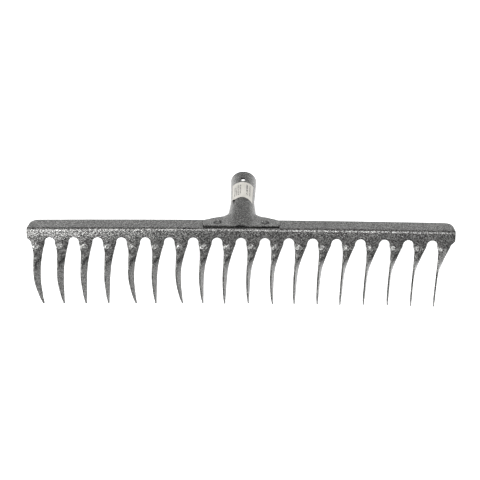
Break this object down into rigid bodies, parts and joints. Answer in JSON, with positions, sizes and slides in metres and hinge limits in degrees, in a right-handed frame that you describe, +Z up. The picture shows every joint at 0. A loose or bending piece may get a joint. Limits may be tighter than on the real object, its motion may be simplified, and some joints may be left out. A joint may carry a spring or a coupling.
{
  "type": "garden rake head",
  "caption": "Steel garden rake head: a folded bar with twisted, hooked tines and a tapered handle socket spot welded on top",
  "frame": {"origin": "centre of the bounding box in X and Y, at the ground that the tine points and the socket's lower rim lie on", "axes": "X along the bar, +Y towards the handle, +Z up"},
  "size_m": [0.4478, 0.1526, 0.064],
  "materials": {
    "blade_paint": "silver-grey hammered paint, semi-gloss",
    "socket_paint": "silver-grey hammered paint, semi-gloss",
    "weld_paint": "silver-grey hammered paint over the weld marks",
    "label_paper": "off-white paper label, matte"
  },
  "bodies": {
    "root": {"tine_blade": "blade_paint", "handle_socket": "socket_paint", "spot_weld_left": "weld_paint", "spot_weld_right": "weld_paint", "socket_label": "label_paper"}
  },
  "joints": []
}
